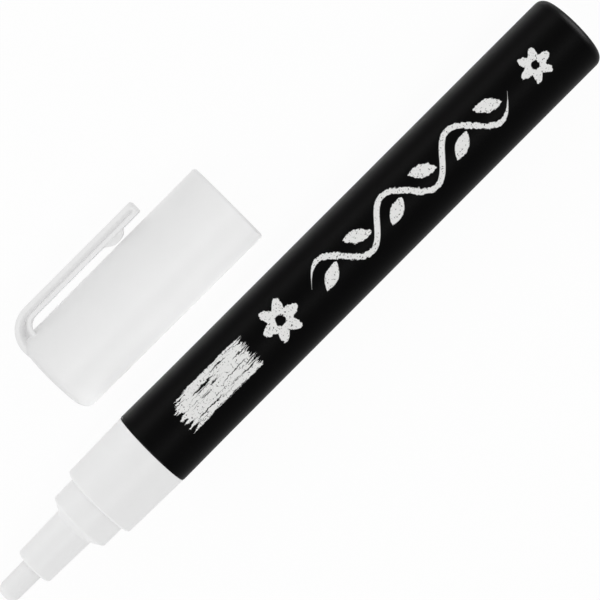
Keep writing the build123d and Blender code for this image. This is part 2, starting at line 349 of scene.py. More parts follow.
@dataclass(frozen=True)
class ChalkPrint:
    """White chalk marks printed along the barrel's upper side: a swatch, flowers and a leafy vine."""

    swatch_start: float = 8.5
    swatch_end: float = 24.0
    swatch_half: float = 3.2
    streak: float = 0.42
    streak_stretch: float = 14.0
    streak_reach: float = 7.0
    streak_cover: tuple[float, float] = (0.36, 0.46)
    flowers: tuple[tuple[float, float], ...] = ((31.5, 3.1), (92.5, 2.5))
    petals: int = 6
    petal_depth: float = 0.26
    eye: float = 0.3
    vine_start: float = 39.0
    vine_end: float = 86.0
    wave_length: float = 15.6
    wave_height: float = 2.8
    stem: float = 1.0
    stem_taper: float = 5.0
    leaf_length: float = 2.6
    leaf_width: float = 1.15
    leaf_tilt: float = 28.0
    leaf_drop: float = 0.9
    ragged: float = 0.7
    ragged_size: float = 0.55
    wear_size: float = 0.3
    wear_cover: tuple[float, float] = (0.3, 0.42)
    edge: float = 0.07

    def within(self, place: Value, low: float, high: float) -> Value:
        """Mask of the places between two numbers."""
        past_high = place.rise(high - self.edge, high + self.edge)
        return place.rise(low - self.edge, low + self.edge) & (1 - past_high)

    def stroke(self, distance: Value, width: Value) -> Value:
        """Mask of a stroke of some width, from the distance to its middle line."""
        return 1 - abs(distance).rise(width / 2 - self.edge, width / 2 + self.edge)

    def vine(self, along: Value, across: Value) -> Value:
        """Mask of a waving stem with a leaf in each of its hollows.

        Args:
            along: millimetres from the barrel's lip.
            across: millimetres round the barrel from its top.

        Returns:
            1 on the vine and 0 beside it.
        """
        graph = along.graph
        pace = 2 * math.pi / self.wave_length
        phase = (along - self.vine_start) * pace
        swing = graph.math("SINE", phase)
        slope = graph.math("COSINE", phase) * (self.wave_height * pace)
        steepness = graph.math("SQRT", 1 + slope * slope)
        from_start = (along - self.vine_start).rise(0, self.stem_taper)
        from_end = (self.vine_end - along).rise(0, self.stem_taper)
        width = (from_start & from_end) * self.stem
        stem = self.stroke((across - swing * self.wave_height) / steepness, width)
        half_wave = self.wave_length / 2
        beside = (along - self.vine_start) % half_wave - half_wave / 2
        below = across * graph.math("SIGN", swing) + self.leaf_drop
        cosine, sine = math.cos(math.radians(self.leaf_tilt)), math.sin(math.radians(self.leaf_tilt))
        length = (beside * cosine + below * sine) / self.leaf_length
        breadth = (below * cosine - beside * sine) / self.leaf_width
        blade = abs(breadth) + length * length
        leaf = 1 - blade.rise(1 - self.edge / self.leaf_width, 1 + self.edge / self.leaf_width)
        return (stem | leaf) & self.within(along, self.vine_start, self.vine_end)

    def flower(self, along: Value, across: Value, middle: float, radius: float) -> Value:
        """Mask of a flower with a dark eye.

        Args:
            along: millimetres from the barrel's lip.
            across: millimetres round the barrel from its top.
            middle: place of the flower along the barrel.
            radius: its radius halfway between its petals' tips and the notches.

        Returns:
            1 on the flower and 0 beside it.
        """
        graph = along.graph
        away = along - middle
        distance = graph.math("SQRT", away * away + across * across)
        angle = graph.math("ARCTAN2", across, away)
        petals = 1 + self.petal_depth * graph.math("COSINE", angle * self.petals)
        flower = 1 - (distance - radius * petals).rise(-self.edge, self.edge)
        return flower & distance.rise(self.eye * radius - self.edge, self.eye * radius + self.edge)

    def swatch(self, along: Value, across: Value) -> Value:
        """Mask of a broad patch rubbed on in streaks, with uneven ends.

        Args:
            along: millimetres from the barrel's lip.
            across: millimetres round the barrel from its top.

        Returns:
            1 on the patch and 0 beside it.
        """
        graph = along.graph
        sockets = {"X": along * (MM / self.streak_stretch), "Y": across * MM}
        drawn_out = graph.value("ShaderNodeCombineXYZ", None, sockets)
        streaks = graph.noise(self.streak, CLOUD_LAYERS, drawn_out)
        ends = along + streaks.swing() * self.streak_reach
        length = self.within(ends, self.swatch_start, self.swatch_end)
        breadth = self.within(across, -self.swatch_half, self.swatch_half)
        return length & breadth & streaks.rise(*self.streak_cover)

    def mask(self, along: Value, across: Value) -> Value:
        """Where the white ink lies.

        Args:
            along: millimetres from the barrel's lip.
            across: millimetres round the barrel from its top.

        Returns:
            1 on the ink and 0 beside it.
        """
        graph = along.graph
        uneven = graph.noise(self.ragged_size, CLOUD_LAYERS).swing() * self.ragged
        rough_along = along + uneven
        rough_across = across + uneven
        marks = self.vine(rough_along, rough_across) | self.swatch(rough_along, rough_across)
        for middle, radius in self.flowers:
            marks = marks | self.flower(rough_along, rough_across, middle, radius)
        return marks & graph.noise(self.wear_size, CLOUD_LAYERS).rise(*self.wear_cover)


@dataclass(frozen=True)
class PrintedBarrelPlastic:
    """Satin black plastic that carries a white print."""

    name: str
    axis: tuple[float, float, float]
    radius: float
    black: Colour = (0.0005, 0.0005, 0.0006)
    worn: Colour = (0.0010, 0.0010, 0.0011)
    ink: Colour = (0.80, 0.80, 0.79)
    ink_depth: float = 0.008
    ink_roughness: float = 0.14
    cloud_size: float = 7.0
    cloud_roughness: float = 0.05
    grain_size: float = 0.2
    grain_share: float = 0.25
    grain_roughness: float = 0.05
    roughness: float = 0.36
    specular: float = 0.025
    design: ChalkPrint = ChalkPrint()

    def material(self) -> bpy.types.Material:
        """Makes the finish.

        Returns:
            The material.
        """
        graph = Graph(bpy.data.materials.new(self.name))
        offset = graph.value(
            "ShaderNodeVectorMath", {"operation": "SUBTRACT"}, {0: graph.place(), 1: self.axis}
        )
        split = graph.node("ShaderNodeSeparateXYZ", None, {"Vector": offset})
        x, y, z = (Value(graph, output) for output in split.outputs)
        along = x / MM
        across = graph.math("ARCTAN2", y, z) * self.radius
        ink = self.design.mask(along, across)
        clouds = graph.noise(self.cloud_size, CLOUD_LAYERS)
        grain = graph.noise(self.grain_size)
        plain = graph.blend(clouds, self.black, self.worn)
        uneven = self.cloud_roughness * clouds + self.grain_roughness * grain
        return graph.principled({
            "Base Color": graph.blend(ink, plain, self.ink),
            "Roughness": self.roughness + uneven + self.ink_roughness * ink,
            "Specular IOR Level": self.specular,
            "Normal": graph.bump(self.grain_share * grain + ink, self.ink_depth),
        })


@dataclass(frozen=True)
class PressedFibre:
    """Fibres pressed along the marker's axis, as in a nib or a felt sleeve."""

    name: str
    light: Colour
    dark: Colour
    fibre: float = 0.09
    stretch: float = 0.12
    depth: float = 0.02
    roughness: float = 0.86
    clump: float = 0.5
    clump_roughness: float = 0.1
    clump_tone: float = 0.35
    clump_relief: float = 0.3
    specular: float = 0.3

    def material(self) -> bpy.types.Material:
        """Makes the finish.

        Returns:
            The material.
        """
        graph = Graph(bpy.data.materials.new(self.name))
        fibres = graph.noise(self.fibre, CLOUD_LAYERS, graph.stretched((self.stretch, 1.0, 1.0)))
        clumps = graph.noise(self.clump, CLOUD_LAYERS)
        tone = (1 - self.clump_tone) * fibres + self.clump_tone * clumps
        relief = (1 - self.clump_relief) * fibres + self.clump_relief * clumps
        return graph.principled({
            "Base Color": graph.blend(tone, self.dark, self.light),
            "Roughness": self.roughness + self.clump_roughness * clumps.swing(),
            "Specular IOR Level": self.specular,
            "Normal": graph.bump(relief, self.depth),
        })


@dataclass(frozen=True)
class SoftRubber:
    """Matt grey rubber with a faint bloom."""

    name: str
    tone: Colour = (0.42, 0.42, 0.43)
    bloom: Colour = (0.52, 0.52, 0.52)
    bloom_size: float = 1.2
    bloom_layers: float = 4.0
    bloom_roughness: float = 0.16
    roughness: float = 0.62
    grain_size: float = 0.12
    grain_depth: float = 0.006

    def material(self) -> bpy.types.Material:
        """Makes the finish.

        Returns:
            The material.
        """
        graph = Graph(bpy.data.materials.new(self.name))
        clouds = graph.noise(self.bloom_size, self.bloom_layers)
        return graph.principled({
            "Base Color": graph.blend(clouds, self.tone, self.bloom),
            "Roughness": self.roughness + self.bloom_roughness * clouds,
            "Normal": graph.bump(graph.noise(self.grain_size), self.grain_depth),
        })


@dataclass(frozen=True)
class Steel:
    """Bare steel, with fine lines along the marker's axis or, unstretched, a faint clouding."""

    name: str
    tone: Colour
    roughness: float
    line: float = 0.05
    line_stretch: float = 0.2
    line_tone: float = 0.86
    line_roughness: float = 0.08
    line_depth: float = 0.002

    def material(self) -> bpy.types.Material:
        """Makes the finish.

        Returns:
            The material.
        """
        graph = Graph(bpy.data.materials.new(self.name))
        lines = graph.noise(self.line, place=graph.stretched((self.line_stretch, 1.0, 1.0)))
        dull = tuple(part * self.line_tone for part in self.tone)
        return graph.principled({
            "Base Color": graph.blend(lines, dull, self.tone),
            "Metallic": 1.0,
            "Roughness": self.roughness + self.line_roughness * lines,
            "Normal": graph.bump(lines, self.line_depth),
        })


CAP_PLASTIC = MouldedPlastic("white_cap_plastic", (0.81, 0.81, 0.81))
SECTION_PLASTIC = MouldedPlastic("white_section_plastic", (0.77, 0.77, 0.77))
VALVE_PLASTIC = MouldedPlastic(
    "natural_valve_plastic", (0.75, 0.75, 0.74), clouding=0.03, roughness=0.46
)
LINER_PLASTIC = MouldedPlastic(
    "soft_liner_plastic", (0.78, 0.78, 0.77), clouding=0.03, roughness=0.5
)
NIB_FIBRE = PressedFibre("pressed_white_fibre", (0.80, 0.80, 0.80), (0.70, 0.70, 0.70))
ABSORBER_FELT = PressedFibre(
    "soft_felt",
    (0.78, 0.77, 0.73),
    (0.62, 0.61, 0.57),
    fibre=0.14,
    stretch=0.6,
    depth=0.05,
    roughness=0.95,
)
SEAL_RUBBER = SoftRubber("grey_seal_rubber")
SPRING_STEEL = Steel("drawn_spring_steel", (0.62, 0.62, 0.61), roughness=0.26)
BALL_STEEL = Steel(
    "polished_ball_steel", (0.72, 0.72, 0.71), roughness=0.08, line=0.3, line_stretch=1.0
)


# Meshes


@dataclass(frozen=True)
class Corner:
    """A corner of a turned outline: its place along the axis, its radius and how far it is rounded."""

    x: float
    radius: float
    rounding: float = 0.0

    def spot(self) -> Vector:
        """The corner as a point of the outline."""
        return Vector((self.x, self.radius))

    def rounded(self, before: "Corner", after: "Corner") -> list[Vector]:
        """Points that round the corner off.

        Args:
            before: the corner in front of this one.
            after: the corner behind it.

        Returns:
            The points of the arc, or the corner alone where it is square.
        """
        if not self.rounding:
            return [self.spot()]
        back = (before.spot() - self.spot()).normalized()
        ahead = (after.spot() - self.spot()).normalized()
        half = back.angle(ahead) / 2
        reach = self.rounding / math.tan(half)
        centre = self.spot() + (back + ahead).normalized() * (self.rounding / math.sin(half))
        first = self.spot() + back * reach - centre
        last = self.spot() + ahead * reach - centre
        turn = math.pi - 2 * half
        steps = max(FEWEST_ARC_STEPS, math.ceil(turn / ARC_STEP))
        parts = [turn * step / steps for step in range(steps + 1)]
        return [
            centre + (first * math.sin(turn - part) + last * math.sin(part)) / math.sin(turn)
            for part in parts
        ]


def mesh_piece(
    name: str, points: Sequence[Vector], faces: Sequence[Sequence[int]], place: Matrix
) -> bpy.types.Object:
    """Makes a piece from points in millimetres, shaded smooth but for its sharp edges.

    Args:
        name: the piece's name.
        points: its points, in millimetres.
        faces: its faces, as numbers of points.
        place: what carries the points into the frame, in metres.

    Returns:
        The new object.
    """
    mesh = bpy.data.meshes.new(name)
    mesh.from_pydata([place @ point for point in points], [], faces)
    shape = bmesh.new()
    shape.from_mesh(mesh)
    bmesh.ops.recalc_face_normals(shape, faces=shape.faces)
    shape.to_mesh(mesh)
    shape.free()
    mesh.shade_smooth()
    mesh.set_sharp_from_angle(angle=SHARP_EDGE)
    piece = bpy.data.objects.new(name, mesh)
    bpy.context.scene.collection.objects.link(piece)
    normals = piece.modifiers.new("straight_shading", "WEIGHTED_NORMAL")
    normals.keep_sharp = True
    normals.weight = NORMAL_WEIGHT
    return piece


def turned(name: str, corners: Sequence[Corner], place: Matrix, closed: bool = True) -> bpy.types.Object:
    """Makes a piece that is turned about the X axis from an outline.

    Args:
        name: the piece's name.
        corners: the outline's corners in order; those of radius 0 lie on the axis.
        place: what carries the piece into the frame.
        closed: whether the outline's end joins its start.

    Returns:
        The new object.
    """
    neighbours = zip([corners[-1], *corners[:-1]], corners, [*corners[1:], corners[0]])
    outline = [point for before, corner, after in neighbours for point in corner.rounded(before, after)]
    angles = [2 * math.pi * side / TURNED_SIDES for side in range(TURNED_SIDES)]
    points: list[Vector] = []
    rings: list[list[int]] = []
    for x, radius in outline:
        ring = angles if radius > 0 else [0.0]
        rings.append(list(range(len(points), len(points) + len(ring))))
        points.extend(Vector((x, radius * math.cos(angle), radius * math.sin(angle))) for angle in ring)
    faces: list[list[int]] = []
    followers = [*rings[1:], rings[0]] if closed else rings[1:]
    for ring, following in zip(rings, followers):
        for side in range(TURNED_SIDES):
            corner_numbers = [
                ring[side % len(ring)],
                ring[(side + 1) % len(ring)],
                following[(side + 1) % len(following)],
                following[side % len(following)],
            ]
            face = list(dict.fromkeys(corner_numbers))
            if len(face) > 2:
                faces.append(face)
    return mesh_piece(name, points, faces, place)


def tube_faces(rings: int, sides: int) -> list[list[int]]:
    """Faces of a tube of rings that follow each other, closed at both ends.

    Args:
        rings: how many rings there are.
        sides: how many points a ring has.

    Returns:
        The faces, as numbers of points.
    """
    faces = [
        [
            ring * sides + side,
            ring * sides + (side + 1) % sides,
            (ring + 1) * sides + (side + 1) % sides,
            (ring + 1) * sides + side,
        ]
        for ring in range(rings - 1)
        for side in range(sides)
    ]
    faces.append(list(range(sides)))
    faces.append([(rings - 1) * sides + side for side in range(sides)])
    return faces


def fit(
    piece: bpy.types.Object,
    material: bpy.types.Material,
    slot: Slot,
    body: Body | None,
    *nodes: str,
) -> None:
    """Dresses a new piece and hangs it on the frame.

    Args:
        piece: the new object.
        material: its finish.
        slot: the record's material slot for it; not used.
        body: the body that it rides on, or None where it bends between two.
        nodes: the solids that it stands for.
    """
    piece.data.materials.clear()
    piece.data.materials.append(material)
    if body:
        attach(piece, body.value)
    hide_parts(*nodes)
    LOG.info("%s: %d faces, for %s", piece.name, len(piece.data.polygons), ", ".join(nodes))


def dress(node: str, material: bpy.types.Material) -> None:
    """Gives its finish and smooth shading to a solid of the frame that stays.

    Args:
        node: the solid's name.
        material: its finish.
    """
    mesh = frame["nodes"][node].data
    mesh.materials.clear()
    mesh.materials.append(material)
    mesh.shade_smooth()
    mesh.set_sharp_from_angle(angle=SHARP_EDGE)
    LOG.info("%s: solid kept, %s", node, material.name)


def marker_place() -> Matrix:
    """Finds the marker in the frame.

    Returns:
        What carries millimetres along the marker's axis, from the barrel's lip, into the frame.
    """
    low, high = (Vector(corner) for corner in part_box("barrel"))
    middle = (low + high) / 2
    return Matrix.Translation((low.x, middle.y, middle.z)) @ Matrix.Scale(MM, 4)


# Sub-assemblies of the marker


@dataclass
class Barrel:
    """Black tube, closed and rounded at its tail, with a slight flare at its front."""

    length: float = 102.65
    radius: float = 7.5
    draft: float = 0.07
    bore: float = 6.5
    lip_radius: float = 7.65
    lip_rounding: float = 0.35
    lip_inner_rounding: float = 0.15
    flare: float = 12.0
    flare_rounding: float = 60.0
    tail_wall: float = 1.8
    tail_rounding: float = 1.7
    tail_inner_rounding: float = 1.2

    def build(self) -> None:
        """Makes the barrel and prints it."""
        place = marker_place()
        floor = self.length - self.tail_wall
        piece = turned("barrel_tube", [
            Corner(0, self.bore, self.lip_inner_rounding),
            Corner(0, self.lip_radius, self.lip_rounding),
            Corner(self.flare, self.radius + self.draft, self.flare_rounding),
            Corner(self.length, self.radius, self.tail_rounding),
            Corner(self.length, 0),
            Corner(floor, 0),
            Corner(floor, self.bore, self.tail_inner_rounding),
        ], place)
        finish = PrintedBarrelPlastic("satin_black_printed", tuple(place.translation), self.radius)
        fit(piece, finish.material(), Slot.BARREL, Body.MARKER, "barrel")


@dataclass
class FrontSection:
    """White stepped moulding, from the nib tube in front to the spigot inside the barrel."""

    tube_front: float = -28.85
    tube_front_radius: float = 3.65
    tube_rear: float = -18.825
    tube_rear_radius: float = 3.925
    step_front: float = -17.675
    step_front_radius: float = 5.975
    collar_front: float = -12.96
    step_rear_radius: float = 6.025
    collar_front_radius: float = 7.325
    collar_rear_radius: float = 7.6
    spigot_radius: float = 6.47
    spigot_length: float = 9.0
    valve_chamber: float = 5.0
    seal_front: float = -1.9
    cup_chamber: float = 4.775
    web_rear: float = -16.675
    web_front: float = -18.675
    felt_chamber: float = 2.88
    front_wall: float = 1.2
    nib_hole: float = 2.18
    hole_rounding: float = 0.15
    tube_rounding: float = 0.55
    tube_root_rounding: float = 0.6
    shoulder_rounding: float = 0.5
    step_root_rounding: float = 0.2
    collar_rounding: float = 0.5
    spigot_rounding: float = 0.3

    def build(self) -> None:
        """Makes the section."""
        felt_front = self.tube_front + self.front_wall
        piece = turned("front_section_moulding", [
            Corner(self.tube_front, self.nib_hole, self.hole_rounding),
            Corner(self.tube_front, self.tube_front_radius, self.tube_rounding),
            Corner(self.tube_rear, self.tube_rear_radius, self.tube_root_rounding),
            Corner(self.step_front, self.step_front_radius, self.shoulder_rounding),
            Corner(self.collar_front, self.step_rear_radius, self.step_root_rounding),
            Corner(self.collar_front, self.collar_front_radius, self.collar_rounding),
            Corner(0, self.collar_rear_radius),
            Corner(0, self.spigot_radius),
            Corner(self.spigot_length, self.spigot_radius, self.spigot_rounding),
            Corner(self.spigot_length, self.valve_chamber),
            Corner(self.seal_front, self.valve_chamber),
            Corner(self.seal_front, self.cup_chamber),
            Corner(self.web_rear, self.cup_chamber),
            Corner(self.web_rear, self.nib_hole),
            Corner(self.web_front, self.nib_hole),
            Corner(self.web_front, self.felt_chamber),
            Corner(felt_front, self.felt_chamber),
            Corner(felt_front, self.nib_hole),
        ], marker_place())
        fit(piece, SECTION_PLASTIC.material(), Slot.SECTION, Body.MARKER, "front_section")


@dataclass
class Nib:
    """Bullet nib of pressed fibre, with the felt sleeve that surrounds it inside the tube."""

    tip: float = -36.0
    tail: float = -5.9
    tip_radius: float = 2.025
    radius: float = 2.1
    tip_rounding: float = 1.75
    tube_front: float = FrontSection.tube_front
    tail_chamfer: float = 0.3
    felt_front: float = FrontSection.tube_front + FrontSection.front_wall
    felt_rear: float = FrontSection.web_front
    felt_bore: float = FrontSection.nib_hole
    felt_radius: float = 2.83
    felt_rounding: float = 0.15
    felt_fuzz: float = 0.04
    felt_clump: float = 0.4

    def build(self) -> None:
        """Makes the nib and its sleeve."""
        place = marker_place()
        nib = turned("bullet_nib", [
            Corner(self.tip, 0),
            Corner(self.tip, self.tip_radius, self.tip_rounding),
            Corner(self.tube_front, self.radius),
            Corner(self.tail - self.tail_chamfer, self.radius),
            Corner(self.tail, self.radius - self.tail_chamfer),
            Corner(self.tail, 0),
        ], place)
        fit(nib, NIB_FIBRE.material(), Slot.NIB, Body.NIB, "nib")
        sleeve = turned("felt_sleeve", [
            Corner(self.felt_front, self.felt_bore, self.felt_rounding),
            Corner(self.felt_front, self.felt_radius, self.felt_rounding),
            Corner(self.felt_rear, self.felt_radius, self.felt_rounding),
            Corner(self.felt_rear, self.felt_bore, self.felt_rounding),
        ], place)
        self.fuzz(sleeve, place)
        fit(sleeve, ABSORBER_FELT.material(), Slot.FELT, Body.MARKER, "nib_absorber")

    def fuzz(self, sleeve: bpy.types.Object, place: Matrix) -> None:
        """Draws the felt's surface in unevenly.

        Args:
            sleeve: the sleeve.
            place: where the marker's axis is.
        """
        axis = place.translation
        middle = (self.felt_bore + self.felt_radius) / 2 * MM
        for vertex in sleeve.data.vertices:
            out = Vector((0, vertex.co.y - axis.y, vertex.co.z - axis.z))
            dip = (noise.noise(vertex.co / (self.felt_clump * MM)) + 1) / 2
            if out.length > middle:
                vertex.co -= out.normalized() * (dip * self.felt_fuzz * MM)


@dataclass
class Valve:
    """Plunger, seal, cage and coil spring behind the nib."""

    spring_front: float = 1.302
    spring_rear: float = 13.968
    spring_turns: int = 6
    coil_radius: float = 2.95
    wire_radius: float = 0.25
    steps_a_turn: int = 48
    wire_sides: int = 16
    travel: float = 2.5

    def build(self) -> None:
        """Dresses the valve's solids and winds its spring."""
        plastic = VALVE_PLASTIC.material()
        dress("valve_plunger", plastic)
        dress("valve_body", plastic)
        dress("valve_seal", SEAL_RUBBER.material())
        place = marker_place()
        spring = self.wound(place)
        fit(spring, SPRING_STEEL.material(), Slot.SPRING, Body.MARKER, "valve_spring")
        seat = place @ Vector((self.spring_rear, 0, 0))
        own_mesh(spring)

    def wound(self, place: Matrix) -> bpy.types.Object:
        """Winds the spring as one round wire with square-cut ends.

        Args:
            place: where the marker's axis is.

        Returns:
            The spring.
        """
        start = self.spring_front + self.wire_radius
        rise = self.spring_rear - self.wire_radius - start
        steps = self.spring_turns * self.steps_a_turn
        along = Vector((1, 0, 0))
        points: list[Vector] = []
        for step in range(steps + 1):
            turn = 2 * math.pi * self.spring_turns * step / steps
            out = Vector((0, math.cos(turn), math.sin(turn)))
            middle = along * (start + rise * step / steps) + out * self.coil_radius
            for side in range(self.wire_sides):
                angle = 2 * math.pi * side / self.wire_sides
                ray = out * math.cos(angle) + along * math.sin(angle)
                points.append(middle + ray * self.wire_radius)
        faces = tube_faces(steps + 1, self.wire_sides)
        return mesh_piece("valve_coil", points, faces, place)


@dataclass
class MixingBall:
    """Steel ball that stirs the ink."""

    node: str = "mixing_ball"

    def build(self) -> None:
        """Dresses the ball."""
        dress(self.node, BALL_STEEL.material())


# Sub-assemblies of the cap


def clip_hinge(part: str) -> Vector:
    """The place or the axis of the joint that the clip bends by."""
    return Vector(next(joint for joint in frame["joints"] if joint["name"] == "clip_flex")[part])


def cap_place() -> Matrix:
    """Finds the cap in the frame.

    Returns:
        What carries millimetres from the cap's closed end, with the clip at +Y, into the frame.
    """
    low, high = (Vector(corner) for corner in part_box("cap_shell"))
    radius = (high.z - low.z) / 2
    hinge = clip_hinge("axis")
    roll = math.atan2(-hinge.y, hinge.z)
    origin = Vector((low.x + Clip.root_proud * MM, low.y + radius, low.z + radius))
    return Matrix.Translation(origin) @ Matrix.Rotation(roll, 4, "X") @ Matrix.Scale(MM, 4)


@dataclass
class Cap:
    """White cap, with the liner cup that seals round the nib."""

    finish: bpy.types.Material
    length: float = 42.8
    end_radius: float = 8.15
    end_rounding: float = 2.0
    mouth_radius: float = 8.3
    mouth_rounding: float = 0.6
    mouth_bore: float = 7.65
    socket_floor: float = 29.84
    socket_bore: float = 7.375
    liner_seat: float = 7.2
    end_wall: float = 1.6
    liner_radius: float = 7.15
    liner_bore: float = 6.075
    liner_rim: float = 28.34
    liner_floor: float = 1.0
    mouth_inner_rounding: float = 0.02
    ledge_rounding: float = 0.1
    floor_rounding: float = 0.6
    liner_foot_rounding: float = 0.5
    liner_rim_rounding: float = 0.35
    liner_floor_rounding: float = 1.0

    def build(self) -> None:
        """Makes the shell and its liner."""
        place = cap_place()
        shell = turned("cap_shell_moulding", [
            Corner(0, 0),
            Corner(0, self.end_radius, self.end_rounding),
            Corner(self.length, self.mouth_radius, self.mouth_rounding),
            Corner(self.length, self.mouth_bore, self.mouth_inner_rounding),
            Corner(self.socket_floor, self.socket_bore),
            Corner(self.socket_floor, self.liner_seat, self.ledge_rounding),
            Corner(self.end_wall, self.liner_seat, self.floor_rounding),
            Corner(self.end_wall, 0),
        ], place)
        fit(shell, self.finish, Slot.CAP, Body.CAP, "cap_shell")
        cup_floor = self.end_wall + self.liner_floor
        liner = turned("liner_cup", [
            Corner(self.end_wall, 0),
            Corner(self.end_wall, self.liner_radius, self.liner_foot_rounding),
            Corner(self.liner_rim, self.liner_radius, self.liner_rim_rounding),
            Corner(self.liner_rim, self.liner_bore, self.liner_rim_rounding),
            Corner(cup_floor, self.liner_bore, self.liner_floor_rounding),
            Corner(cup_floor, 0),
        ], place)
        fit(liner, LINER_PLASTIC.material(), Slot.LINER, Body.CAP, "inner_cap")


@dataclass(frozen=True)
class Station:
    """One cross-section of the clip: its faces in the plane of the cap's axis, and its details."""

    outer: Vector
    inner: Vector
    half_width: float
    inner_edge: float
    groove: float
    groove_low: float
    draft: float = 0.0
    bump: float = 0.0
    inset: float = 0.0


@dataclass
class Clip:
    """Clip that grows out of the cap's end: root, bend, grooved arm, gripping bump and free end."""

    finish: bpy.types.Material
    width: float = 7.8
    inner: float = 9.62
    outer: float = 11.99
    reach: float = 30.93
    end_rounding: float = 0.35
    corner_radius: float = 1.2
    bend_radius: float = 5.5
    root_proud: float = 0.15
    root_thickness: float = 3.36
    root_depth: float = 4.0
    root_sunk: float = 0.06
    root_foot: tuple[float, float] = (1.5, 6.4)
    neck_proud: float = 0.09
    neck_outer: float = 5.6
    neck_inner: float = 6.95
    slot_radius: float = 2.1
    slot_draft: float = 0.42
    bend_steps: int = 28
    crown: float = 0.05
    crown_shares: tuple[float, ...] = (0.0, 0.3, 0.6, 0.85, 1.0)
    edge_steps: int = 4
    outer_edge: float = 0.2
    inner_edge: float = 0.12
    rim: float = 0.72
    flange: float = 0.6
    groove_depth: float = 0.55
    groove_curve: float = 1.6
    groove_end: float = 0.3
    groove_fade: float = 1.1
    groove_steps: int = 14
    groove_low: float = 0.7
    root_groove: float = 3.4
    root_low: float = 0.5
    bend_edge: float = 0.5
    bump_start: float = 22.03
    bump_finish: float = 26.77
    bump_near_ramp: float = 1.15
    bump_far_ramp: float = 0.85
    bump_height: float = 1.036
    bump_drop: float = 0.18
    bump_half: float = 2.5
    bump_wall: float = 0.06
    bump_softness: float = 0.16
    bump_margin: float = 0.4
    bump_shares: tuple[float, ...] = (1.0, 0.9, 0.5, 0.0)
    coarse_step: float = 1.0
    fine_step: float = 0.08
    least_step: float = 0.004
    flex_start: float = -2.5
    flex_end: float = 5.0

    def build(self) -> None:
        """Makes the clip."""
        sections = [self.section(station) for station in self.stations()]
        points = [point for section in sections for point in section]
        faces = tube_faces(len(sections), len(sections[0]))
        piece = mesh_piece("clip_moulding", points, faces, cap_place())
        fit(piece, self.finish, Slot.CAP, None, "clip_arm")
        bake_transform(piece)

    def stations(self) -> list[Station]:
        """Sets the clip's cross-sections out.

        Returns:
            The cross-sections from the root, sunk in the cap's end, to the free end.
        """
        half = self.width / 2
        bend = Vector((self.bend_radius - self.root_proud, self.outer - self.bend_radius))
        slot = Vector((self.root_thickness + self.slot_radius, self.inner - self.slot_radius))
        foot = Vector((self.root_sunk, self.root_depth)), Vector(self.root_foot)
        neck_outer = Vector((-self.neck_proud, self.neck_outer))
        neck = neck_outer, Vector((self.root_thickness, self.neck_inner))
        edge, deep, low, draft = self.bend_edge, self.root_groove, self.root_low, self.slot_draft
        stations = [Station(*faces, half, edge, deep, low, draft) for faces in (foot, neck)]
        for step in range(self.bend_steps + 1):
            share = step / self.bend_steps
            angle = math.pi * (1 - share / 2)
            ray = Vector((math.cos(angle), math.sin(angle)))
            eased = (1 - math.cos(math.pi * share)) / 2
            stations.append(Station(
                bend + ray * self.bend_radius,
                slot + ray * self.slot_radius,
                half,
                edge + (self.inner_edge - edge) * eased,
                deep + (1 - deep) * eased,
                low + (self.groove_low - low) * eased,
                -draft * ray.x,
            ))
        return stations + [self.arm_station(x) for x in self.arm_places(bend.x)]

    def arm_places(self, start: float) -> list[float]:
        """Places along the arm where its section changes.

        Args:
            start: where the bend ends.

        Returns:
            The places in order, none too near the next.
        """
        bump_from, bump_to = self.bump_start - self.bump_margin, self.bump_finish + self.bump_margin
        groove_stop = self.reach - self.groove_end
        places = self.spread(start, bump_from, self.coarse_step)
        places |= self.spread(bump_from, bump_to, self.fine_step)
        places |= self.spread(groove_stop - self.groove_fade, groove_stop, self.fine_step)
        for radius in (self.corner_radius, self.end_rounding):
            angles = self.spread(0.0, math.pi / 2, ARC_STEP)
            places |= {self.reach - radius + radius * math.sin(angle) for angle in angles}
        ordered = sorted(place for place in places if place > start)
        gaps = zip(ordered, [*ordered[1:], math.inf])
        return [place for place, following in gaps if following - place > self.least_step]

    def spread(self, first: float, last: float, step: float) -> set[float]:
        """Evenly spread numbers from the first to the last, at most a step apart."""
        count = math.ceil((last - first) / step)
        return {first + (last - first) * number / count for number in range(count + 1)}

    def arm_station(self, x: float) -> Station:
        """Cross-section of the arm.

        Args:
            x: its place along the cap.

        Returns:
            The cross-section, drawn in at the free end.
        """
        past_corner = max(0.0, x - self.reach + self.corner_radius)
        drawn = self.corner_radius - math.sqrt(max(0.0, self.corner_radius**2 - past_corner**2))
        past_end = max(0.0, x - self.reach + self.end_rounding)
        inset = self.end_rounding - math.sqrt(max(0.0, self.end_rounding**2 - past_end**2))
        fade = min(1.0, max(0.0, (self.reach - self.groove_end - x) / self.groove_fade))
        return Station(
            Vector((x, self.outer)),
            Vector((x, self.inner)),
            self.width / 2 - drawn,
            self.inner_edge,
            groove=fade * fade * (3 - 2 * fade),
            groove_low=self.groove_low,
            bump=self.bump_rise(x),
            inset=inset,
        )

    def bump_rise(self, x: float) -> float:
        """How far the gripping bump stands out from the inner face.

        Args:
            x: the place along the cap.

        Returns:
            The height, 0 beside the bump.
        """
        low, high = self.bump_start + self.bump_near_ramp, self.bump_finish - self.bump_far_ramp
        shoulder = self.bump_height - self.bump_drop
        near = (x - self.bump_start) * shoulder / self.bump_near_ramp
        far = (self.bump_finish - x) * shoulder / self.bump_far_ramp
        crown = self.bump_height - self.bump_drop * ((2 * x - low - high) / (high - low)) ** 2
        rise = self.soft_least(self.soft_least(near, far), crown)
        return max(0.0, -self.soft_least(-rise, 0.0)) if rise > -self.bump_softness else 0.0

    def soft_least(self, first: float, second: float) -> float:
        """The lesser of two numbers, with a rounded change from one to the other."""
        share = min(1.0, max(0.0, 0.5 + 0.5 * (second - first) / self.bump_softness))
        return second + (first - second) * share - self.bump_softness * share * (1 - share)

